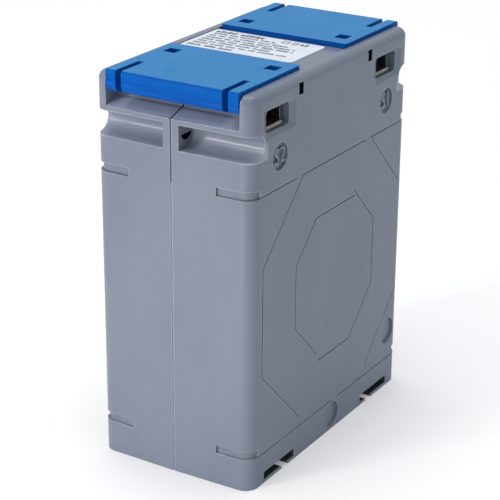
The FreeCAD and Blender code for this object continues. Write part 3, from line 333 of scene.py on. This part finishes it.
def cover_plastic(name, shift):
    """Matt blue thermoplastic, lighter on top as a painted sheen, with fine lines, small scuffs,
    edge wear with a painted highlight and painted shade in crevices.
    """
    s = Shader(name)
    sky = s.open_sky(reach=1.6 * MM)
    wear_and_highlight = s.edge_wear_and_highlight(0.2 * MM, sky)
    flow = s.noise(14 * MM, detail=3, roughness=0.5, stretch=(1, 0.6, 1), shift=shift)
    cloud = s.noise(2.5 * MM, detail=3, roughness=0.6, shift=shift)
    grain = s.noise(0.13 * MM, detail=2, roughness=0.6)
    scuff = s.noise(0.9 * MM, detail=4, roughness=0.75, stretch=(1, 0.12, 1), shift=shift)
    lines = s.noise(0.5 * MM, detail=2, roughness=0.5, stretch=(0.03, 1, 1))

    fresh = s.mix(s.ramp(lines, (0.35, 0.65)), *COVER_FRESH)
    painted_sheen = s.mix(s.spread(flow), *COVER_PAINTED_SHEEN)
    # Painted sheen: faces that look upward take a lighter blue
    color = s.mix(s.facing_up(), fresh, painted_sheen)
    color = s.mix(s.ramp(cloud, (0.55, 0.8), (0.0, 0.2)), color, COVER_CLOUD)
    color = s.mix(s.ramp(scuff, (0.66, 0.78), (0.0, 0.25)), color, COVER_SCUFF)
    # Lighter outer edges: edge wear with a painted highlight
    color = s.mix(s.multiply(wear_and_highlight, s.spread(cloud, (0.4, 0.8))), color, COVER_WEAR_AND_HIGHLIGHT)
    # Painted shade: crevices turn dark blue where little open sky is left
    color = s.mix(s.ramp(sky, (0.45, 0.1)), color, COVER_PAINTED_SHADE)

    roughness = s.ramp(cloud, (0.25, 0.75), (0.34, 0.42))
    normal = s.bump(flow, 0.02 * MM, s.rounded(0.3 * MM))
    normal = s.bump(grain, 0.007 * MM, normal)
    return s.finish(color, roughness, normal, specular=0.07)


# Materials inside the case

PLATED_EDGE_HIGHLIGHT = srgb(226, 226, 222)
CAGE_ZINC = (srgb(124, 130, 136), srgb(170, 176, 180))
BUSBAR_TIN = (srgb(118, 118, 118), srgb(166, 164, 160))
SCREW_ZINC = (srgb(126, 126, 124), srgb(168, 168, 166))
COPPER = (srgb(168, 84, 44), srgb(206, 118, 66))
CORE_STRIP = (srgb(88, 92, 98), srgb(124, 128, 134))
CARRIER_BLACK = (srgb(30, 31, 33), srgb(42, 43, 46))
TRAY_CREAM = (srgb(214, 210, 196), srgb(228, 224, 212))
TAPE_AMBER = (srgb(206, 178, 98), srgb(228, 204, 130))
FOAM_GREYS = (srgb(30, 30, 32), srgb(58, 58, 60))

METAL = 1.0
OXIDISED_METAL = 0.9
EDGE_SHINE = 0.6
ROUGHNESS_SPREAD = 0.05


def plated_metal(name, shades):
    """Plated metal: fine rolling lines, cloudy passivation and painted highlights on its edges."""
    s = Shader(name)
    rounded = s.rounded(0.15 * MM)
    edge = s.turned(rounded, SOFT_EDGE)
    roll = s.noise(0.12 * MM, detail=3, roughness=0.6, stretch=(0.06, 1, 1))
    cloud = s.noise(1.6 * MM, detail=3, roughness=0.6)
    color = s.mix(s.spread(cloud), *shades)
    # Painted highlight: the edges are lightened towards near white
    color = s.mix(s.multiply(edge, EDGE_SHINE), color, PLATED_EDGE_HIGHLIGHT)
    normal = s.bump(roll, 0.004 * MM, rounded)
    return s.finish(color, s.spread(roll, (0.28, 0.42)), normal, METAL)


def enamelled_wire(name):
    """Copper wire side by side: fine ridges with a warm varnish."""
    s = Shader(name)
    ridges = s.wave(0.6 * MM, distortion=0.6, bands_direction="X")
    cloud = s.noise(3 * MM, detail=3, roughness=0.6)
    color = s.mix(s.spread(cloud), *COPPER)
    return s.finish(color, s.spread(cloud, (0.2, 0.34)), s.bump(ridges, 0.08 * MM), METAL)


def wound_core(name):
    """Wound steel strip: fine lines along its turns."""
    s = Shader(name)
    turns = s.noise(0.3 * MM, detail=3, roughness=0.6, stretch=(1, 0.3, 0.3))
    cloud = s.noise(6 * MM, detail=3, roughness=0.6)
    color = s.mix(s.spread(cloud), *CORE_STRIP)
    normal = s.bump(turns, 0.02 * MM)
    return s.finish(color, s.spread(turns, (0.35, 0.55)), normal, OXIDISED_METAL)


def dull_moulding(name, shades, roughness):
    """A plain inner moulding with a matt skin."""
    s = Shader(name)
    cloud = s.noise(3 * MM, detail=3, roughness=0.6)
    grain = s.noise(0.2 * MM, detail=2, roughness=0.6)
    color = s.mix(s.spread(cloud), *shades)
    patches = s.spread(cloud, (roughness - ROUGHNESS_SPREAD, roughness + ROUGHNESS_SPREAD))
    normal = s.bump(grain, 0.012 * MM, s.rounded(0.2 * MM))
    return s.finish(color, patches, normal)


def wrapped_tape(name):
    """Polyester tape in overlapping turns."""
    s = Shader(name)
    overlap = s.wave(7 * MM, distortion=0.4, bands_direction="DIAGONAL", wave_profile="SAW")
    cloud = s.noise(4 * MM, detail=3, roughness=0.6)
    color = s.mix(s.spread(cloud), *TAPE_AMBER)
    return s.finish(color, s.spread(cloud, (0.3, 0.42)), s.bump(overlap, 0.1 * MM))


def cell_foam(name):
    """Closed-cell foam."""
    s = Shader(name)
    cells = s.cells(0.6 * MM)
    wall = (0.1, 0.6)
    color = s.mix(s.ramp(cells, wall), *FOAM_GREYS)
    return s.finish(color, s.ramp(cells, wall, (0.95, 0.8)), s.bump(cells, 0.15 * MM))


# Label materials

FILM_WHITES = (srgb(218, 224, 238), srgb(226, 231, 242))
INK_DARKS = (srgb(26, 29, 40), srgb(70, 74, 88))


def label_film(name):
    """Satin label film in a cool white, with a faint orange-peel skin."""
    s = Shader(name)
    cloud = s.noise(7 * MM, detail=3, roughness=0.55)
    peel = s.noise(0.5 * MM, detail=2, roughness=0.5)
    color = s.mix(s.spread(cloud), *FILM_WHITES)
    return s.finish(color, s.spread(peel, (0.36, 0.46)), s.bump(peel, 0.006 * MM))


def label_ink(name):
    """Slightly uneven dark print."""
    s = Shader(name)
    cloud = s.noise(0.35 * MM, detail=3, roughness=0.7)
    color = s.mix(s.ramp(cloud, (0.35, 0.7)), *INK_DARKS)
    return s.finish(color, s.spread(cloud, (0.4, 0.55)), s.bump(cloud, 0.002 * MM))


# A material for each slot of the record

FINISHES = {
    "casing_right": casing_plastic("casing_right_plastic", shift=0.0),
    "casing_left": casing_plastic("casing_left_plastic", shift=0.31),
    "cover_front": cover_plastic("cover_front_plastic", shift=0.0),
    "cover_back": cover_plastic("cover_back_plastic", shift=0.47),
    "cage_steel": plated_metal("cage_zinc", CAGE_ZINC),
    "busbar_brass": plated_metal("busbar_tin", BUSBAR_TIN),
    "screw_steel": plated_metal("screw_zinc", SCREW_ZINC),
    "carrier_plastic": dull_moulding("carrier_black", CARRIER_BLACK, roughness=0.55),
    "lead_wire": enamelled_wire("lead_copper"),
    "winding_copper": enamelled_wire("winding_copper_wire"),
    "core_steel": wound_core("core_strip"),
    "tray_plastic": dull_moulding("tray_cream", TRAY_CREAM, roughness=0.5),
    "tape": wrapped_tape("tape_polyester"),
    "foam": cell_foam("foam_cells"),
    "label_sheet": label_film("label_film"),
}

for node in nodes.values():
    for holder in node.material_slots:
        slot = holder.material.name.split(".")[0] if holder.material else None
        if slot in FINISHES:
            holder.material = FINISHES[slot]


def add_piece(name, mesh, material):
    """Put a mesh into the scene as a piece of one material."""
    mesh.materials.clear()
    mesh.materials.append(material)
    piece = bpy.data.objects.new(name, mesh)
    bpy.context.scene.collection.objects.link(piece)
    return piece


# Terminal marks, raised in their round fields below the ports

MARK_SIZE = 6.3 * MM
MARK_RISE = 0.62 * MM
MARK_EDGE = 0.09 * MM
MARK_EDGE_STEPS = 2

# In millimetres: a field's floor below the large face, its middle below the top of the case, and
# how much nearer it is to the middle of the case than its terminal
FIELD_DEPTH = 0.8
FIELD_DROP = 19.0
FIELD_SHIFT = 0.3


def make_letters(name, text):
    """Letters as a mesh: centred on the origin, flat in the XY plane, with softened edges."""
    curve = bpy.data.curves.new(name + "_curve", "FONT")
    curve.body = text
    curve.size = MARK_SIZE
    curve.align_x = "CENTER"
    curve.align_y = "CENTER"
    curve.extrude = MARK_RISE
    curve.bevel_depth = MARK_EDGE
    curve.bevel_resolution = MARK_EDGE_STEPS
    curve.offset = -MARK_EDGE
    flat = bpy.data.objects.new(name + "_flat", curve)
    bpy.context.scene.collection.objects.link(flat)
    bpy.context.view_layer.update()
    depsgraph = bpy.context.evaluated_depsgraph_get()
    mesh = bpy.data.meshes.new_from_object(flat.evaluated_get(depsgraph))
    bpy.data.objects.remove(flat)
    return mesh


def make_mark(terminal):
    """A terminal's name in raised letters, upright on the large face that its port is in."""
    low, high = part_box("terminal_cage_" + terminal)
    cage = (low + high) / 2
    side = math.copysign(1, cage.x)
    slot = "casing_right" if side > 0 else "casing_left"
    name = "mark_" + terminal
    mesh = make_letters(name, terminal.upper())
    # The letters' X runs along the face, their Y upward and their Z outward
    turn = Matrix(((0, 0, side), (side, 0, 0), (0, 1, 0))).to_4x4()
    turn.translation = Vector((side * (CASE_SIDE - FIELD_DEPTH) * MM,
                               cage.y - math.copysign(FIELD_SHIFT * MM, cage.y),
                               (CASE_TOP - FIELD_DROP) * MM))
    mesh.transform(turn)
    piece = add_piece(name, mesh, FINISHES[slot])
    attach(piece, CASING_BODY)


for terminal in ("s2", "s1", "p1", "p2"):
    make_mark(terminal)


# Print on the label: rows of short bars and small outlined signs in place of words

# Each row has its middle below the label's back edge, its height, its start and end from the
# label's left edge, and its stride from bar to bar, in millimetres.
PRINT_ROWS = [
    (2.1, 1.9, 1.3, 16.4, 1.15),
    (4.4, 1.15, 1.8, 22.1, 0.7),
    (6.5, 1.15, 1.6, 27.1, 0.7),
    (8.6, 1.15, 1.8, 30.4, 0.7),
    (10.7, 1.3, 1.6, 31.4, 0.75),
    (12.9, 1.15, 1.8, 25.6, 0.7),
    (15.1, 1.15, 1.6, 31.6, 0.7),
    (17.5, 1.5, 1.2, 15.6, 0.9),
]

# Each sign has its left and right from the left edge, and its top and bottom from the back edge.
PRINT_SIGNS = [
    (23.2, 25.4, 1.2, 3.4),
    (26.6, 28.2, 1.2, 3.4),
    (29.2, 30.0, 1.4, 3.2),
    (30.6, 31.4, 1.4, 3.2),
]
SIGN_LINE = 0.38

PRINT_SEED = 11
BARS_PER_WORD = (3, 8)

# Shares of the stride: a bar's width, the gap after it and the extra gap after a word
BAR_WIDTH = (0.55, 1.0)
BAR_GAP = 0.28
WORD_GAP = 1.1

# Shares of its height that a bar may lack at the top
BAR_CUTS = (0.0, 0.0, 0.12, 0.25)

# How far the ink reaches into the film and stands above it
INK_BELOW = 0.01 * MM
INK_ABOVE = 0.012 * MM


def make_print():
    """All bars of print as one piece, with one seed so that it is the same in each run."""
    low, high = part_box("rating_label")
    chance = random.Random(PRINT_SEED)
    mesh = bmesh.new()

    def bar(left, right, top, bottom):
        """A flat bar between distances in millimetres from the label's left and back edges."""
        x0 = low.x + left * MM
        x1 = low.x + right * MM
        y0 = high.y - bottom * MM
        y1 = high.y - top * MM
        under, over = ([mesh.verts.new((x, y, z)) for x, y in
                        ((x0, y0), (x1, y0), (x1, y1), (x0, y1))]
                       for z in (high.z - INK_BELOW, high.z + INK_ABOVE))
        mesh.faces.new(over)
        mesh.faces.new(under[::-1])
        for index in range(4):
            following = (index + 1) % 4
            mesh.faces.new((under[index], under[following], over[following], over[index]))

    for middle, height, start, end, stride in PRINT_ROWS:
        x = start
        bars_left = chance.randint(*BARS_PER_WORD)
        while x < end:
            width = stride * chance.uniform(*BAR_WIDTH)
            cut = height * chance.choice(BAR_CUTS)
            bar(x, x + width, middle - height / 2 + cut, middle + height / 2)
            x += width + stride * BAR_GAP
            bars_left -= 1
            if bars_left == 0:
                bars_left = chance.randint(*BARS_PER_WORD)
                x += stride * WORD_GAP

    for left, right, top, bottom in PRINT_SIGNS:
        bar(left, right, bottom - SIGN_LINE, bottom)
        bar(left, right, top, top + SIGN_LINE)
        bar(left, left + SIGN_LINE, top, bottom)
        bar(right - SIGN_LINE, right, top, bottom)

    data = bpy.data.meshes.new("label_print")
    mesh.to_mesh(data)
    mesh.free()
    piece = add_piece("label_print", data, label_ink("label_ink"))
    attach(piece, CASING_BODY)


make_print()


# Floor

FLOOR_HALF = 6.0
FLOOR_WHITES = (srgb(232, 232, 233), srgb(235, 235, 236))

# The floor glows for the camera only: little at the first distance and more at the second, so
# that it runs into the white backdrop
GLOW_DISTANCE = (0.3, 2.0)
GLOW_STRENGTH = (0.2, 0.5)
WHITE = (1.0, 1.0, 1.0, 1.0)


def floor_paper():
    """White paper with the faintest clouds."""
    s = Shader("floor_paper")
    cloud = s.noise(0.4, detail=3, roughness=0.5)
    diffuse = s.node("ShaderNodeBsdfDiffuse")
    s.link(s.mix(cloud, *FLOOR_WHITES), diffuse.inputs["Color"])
    reach = s.node("ShaderNodeVectorMath", operation="LENGTH")
    s.link(s.place, reach.inputs[0])
    glow = s.node("ShaderNodeEmission")
    s.link(WHITE, glow.inputs["Color"])
    s.link(s.ramp(reach.outputs["Value"], GLOW_DISTANCE, GLOW_STRENGTH), glow.inputs["Strength"])
    add = s.node("ShaderNodeAddShader")
    s.link(diffuse.outputs["BSDF"], add.inputs[0])
    s.link(glow.outputs["Emission"], add.inputs[1])
    surface = s.camera_switch(diffuse.outputs["BSDF"], add.outputs["Shader"])
    s.link(surface, s.out.inputs["Surface"])
    return s.material


def make_floor():
    corners = [(-1, -1), (1, -1), (1, 1), (-1, 1)]
    data = bpy.data.meshes.new("floor")
    data.from_pydata([(x * FLOOR_HALF, y * FLOOR_HALF, 0) for x, y in corners],
                     [], [(0, 1, 2, 3)])
    floor = add_piece("floor", data, floor_paper())


make_floor()


# Light

# The studio's own light by direction along Y: weaker from the camera's side than from behind
STUDIO_TINT = (0.93, 0.975, 1.0, 1.0)
STUDIO_DIRECTION = (-0.8, 0.8)
STUDIO_STRENGTH = (0.38, 0.58)
BACKDROP_STRENGTH = 0.97

WARM = (1.0, 0.94, 0.92)
WARMER = (1.0, 0.93, 0.9)
NEUTRAL = (1.0, 1.0, 1.0)

# Points of the object that the lamps aim at
MIDDLE = (0.0, 0.0, 0.05)
FRONT_FOOT = (0.0, -0.04, 0.0)


def make_world():
    """A white studio that lights the object unevenly and shows the camera an even backdrop."""
    world = bpy.data.worlds.new("studio")
    world.use_nodes = True
    w = Nodes(world.node_tree)

    def background(color, strength):
        node = w.node("ShaderNodeBackground")
        w.link(color, node.inputs["Color"])
        w.link(strength, node.inputs["Strength"])
        return node.outputs["Background"]

    split = w.node("ShaderNodeSeparateXYZ")
    w.link(w.node("ShaderNodeTexCoord").outputs["Generated"], split.inputs["Vector"])
    studio = background(STUDIO_TINT, w.ramp(split.outputs["Y"], STUDIO_DIRECTION, STUDIO_STRENGTH))
    backdrop = background(WHITE, BACKDROP_STRENGTH)
    output = w.node("ShaderNodeOutputWorld")
    w.link(w.camera_switch(studio, backdrop), output.inputs["Surface"])
    bpy.context.scene.world = world


def make_lamp(name, place, target, size, power, color, mirrored):
    """A square lamp; one that isn't mirrored leaves no highlight on the surfaces."""
    light = bpy.data.lights.new(name, "AREA")
    light.color = color
    light.shape = "SQUARE"
    light.size = size
    light.energy = power
    lamp = bpy.data.objects.new(name, light)
    lamp.location = place
    lamp.visible_glossy = mirrored
    lamp.rotation_euler = (Vector(target) - Vector(place)).to_track_quat("-Z", "Y").to_euler()
    bpy.context.scene.collection.objects.link(lamp)


make_world()
make_lamp("key", place=(-0.40, -0.84, 0.72), target=MIDDLE,
          size=0.25, power=2.35, color=WARM, mirrored=True)
make_lamp("streak", place=(-0.50, -0.86, 0.24), target=MIDDLE,
          size=0.06, power=1.25, color=WARMER, mirrored=True)
make_lamp("fill", place=(0.25, -0.60, 0.07), target=FRONT_FOOT,
          size=0.4, power=0.35, color=WARMER, mirrored=False)
make_lamp("card", place=(0.0, -0.25, 0.004), target=FRONT_FOOT,
          size=0.12, power=0.38, color=WARMER, mirrored=False)
make_lamp("top", place=(-0.05, 0.10, 1.2), target=MIDDLE,
          size=1.0, power=8.2, color=NEUTRAL, mirrored=True)


# Camera, fitted to the photograph

AZIMUTH = math.radians(31.599)
ELEVATION = math.radians(21.952)
ROLL = math.radians(0.414)
DISTANCE = 0.496482

# Where the camera aims: a height on the Z axis and a shift to its right
AIM_HEIGHT = 0.052129
AIM_RIGHT = -0.002106

PHOTO_WIDTH_PIXELS = 500
FOCAL_LENGTH_PIXELS = 1704.949
SENSOR_WIDTH_MM = 36.0
CLIP_NEAR = 0.01
CLIP_FAR = 50


def make_camera():
    """The photograph's view: azimuth and elevation about the object, with a slight roll."""
    back = Vector((math.sin(AZIMUTH) * math.cos(ELEVATION),
                   -math.cos(AZIMUTH) * math.cos(ELEVATION), math.sin(ELEVATION)))
    right = Vector((math.cos(AZIMUTH), math.sin(AZIMUTH), 0))
    up = back.cross(right)
    right_rolled = right * math.cos(ROLL) + up * math.sin(ROLL)
    up_rolled = up * math.cos(ROLL) - right * math.sin(ROLL)
    data = bpy.data.cameras.new("camera")
    data.sensor_fit = "HORIZONTAL"
    data.sensor_width = SENSOR_WIDTH_MM
    data.lens = FOCAL_LENGTH_PIXELS / PHOTO_WIDTH_PIXELS * SENSOR_WIDTH_MM
    data.clip_start = CLIP_NEAR
    data.clip_end = CLIP_FAR
    camera = bpy.data.objects.new("camera", data)
    turn = Matrix((right_rolled, up_rolled, back)).transposed().to_4x4()
    turn.translation = back * DISTANCE + right * AIM_RIGHT + Vector((0, 0, AIM_HEIGHT))
    camera.matrix_world = turn
    bpy.context.scene.collection.objects.link(camera)
    bpy.context.scene.camera = camera


make_camera()
bpy.context.scene.view_settings.view_transform = "Standard"
